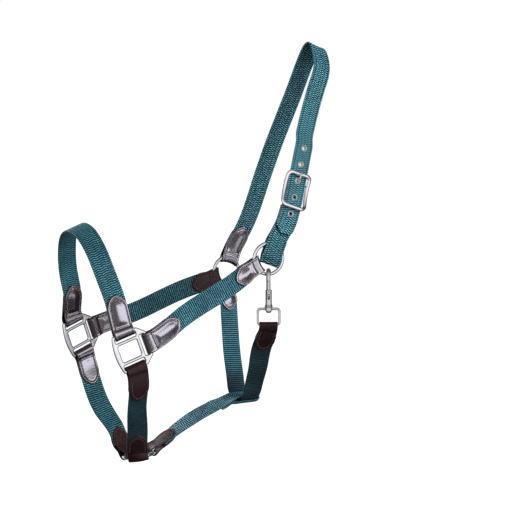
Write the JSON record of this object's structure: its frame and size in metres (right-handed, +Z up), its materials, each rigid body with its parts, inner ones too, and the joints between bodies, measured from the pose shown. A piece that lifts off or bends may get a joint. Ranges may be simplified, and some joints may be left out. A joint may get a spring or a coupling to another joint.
{
  "type": "head halter",
  "caption": "Horse head halter of woven webbing with folded leather ends, metal rings and squares, a crown buckle and a swivelling bolt snap at the throat strap.",
  "frame": {"origin": "underside of the crown strap where it rests on the poll, the highest point of the head", "axes": "+Z up, -X towards the nose, -Y the near (left, buckle) side of the head"},
  "size_m": [0.3547, 0.1506, 0.502],
  "materials": {
    "webbing": "woven nylon, ribbed, teal",
    "leather": "smooth dark brown with a satin sheen",
    "bright_nickel": "bright polished plating",
    "eyelet_metal": "bright plated",
    "snap_nickel": "satin nickel plating",
    "spring_steel": "bright drawn wire"
  },
  "bodies": {
    "halter": {"crown_strap": "webbing", "buckle_chape": "webbing", "near_cheek_strap": "webbing", "far_cheek_strap": "webbing", "noseband_top": "webbing", "near_lower_noseband": "webbing", "far_lower_noseband": "webbing", "chin_strap": "webbing", "throat_strap": "webbing", "near_cheek_front_tab": "leather", "near_cheek_ring_tab": "leather", "far_cheek_front_tab": "leather", "far_cheek_ring_tab": "leather", "noseband_near_tab": "leather", "noseband_far_tab": "leather", "near_lower_square_tab": "leather", "near_lower_chin_tab": "leather", "far_lower_square_tab": "leather", "far_lower_chin_tab": "leather", "chin_strap_tab": "leather", "throat_far_ring_tab": "leather", "throat_snap_tab": "leather", "crown_far_ring_tab": "leather", "near_square": "bright_nickel", "far_square": "bright_nickel", "buckle_frame": "bright_nickel", "eyelet_1": "eyelet_metal", "eyelet_2": "eyelet_metal", "eyelet_3": "eyelet_metal", "eyelet_4": "eyelet_metal", "eyelet_5": "eyelet_metal", "snap_swivel_eye": "snap_nickel"},
    "tongue": {"buckle_tongue": "bright_nickel"},
    "near_ring": {"near_ring": "bright_nickel"},
    "far_ring": {"far_ring": "bright_nickel"},
    "chin_ring": {"chin_ring": "bright_nickel"},
    "snap": {"snap_body": "snap_nickel", "snap_spring": "spring_steel"},
    "bolt": {"snap_bolt": "snap_nickel"}
  },
  "joints": [
    {"name": "buckle_tongue_hinge", "type": "hinge", "parent": "halter", "child": "tongue", "pos_m": [-0.06357, -0.05215, -0.16583], "axis": [0.9477, -0.0611, -0.3131], "range_deg": [0, 8]},
    {"name": "near_ring_spin", "type": "hinge", "parent": "halter", "child": "near_ring", "pos_m": [-0.105, -0.06, -0.254], "axis": [-0.1392, -0.9903, 0], "continuous": true},
    {"name": "far_ring_spin", "type": "hinge", "parent": "halter", "child": "far_ring", "pos_m": [-0.097, 0.056, -0.283], "axis": [-0.0698, 0.9976, 0], "continuous": true},
    {"name": "chin_ring_spin", "type": "hinge", "parent": "halter", "child": "chin_ring", "pos_m": [-0.251, 0, -0.488], "axis": [-0.12, 0.07, 0.9903], "continuous": true},
    {"name": "snap_swivel", "type": "hinge", "parent": "halter", "child": "snap", "pos_m": [-0.10873, -0.06685, -0.31135], "axis": [0, 0, 1], "range_deg": [-4, 12]},
    {"name": "snap_bolt_slide", "type": "slide", "parent": "snap", "child": "bolt", "axis": [0, 0, -1], "range_m": [0, 0.0055], "stiffness_N_per_m": 300, "springref_m": -0.004, "deforming": ["snap_spring"]}
  ]
}
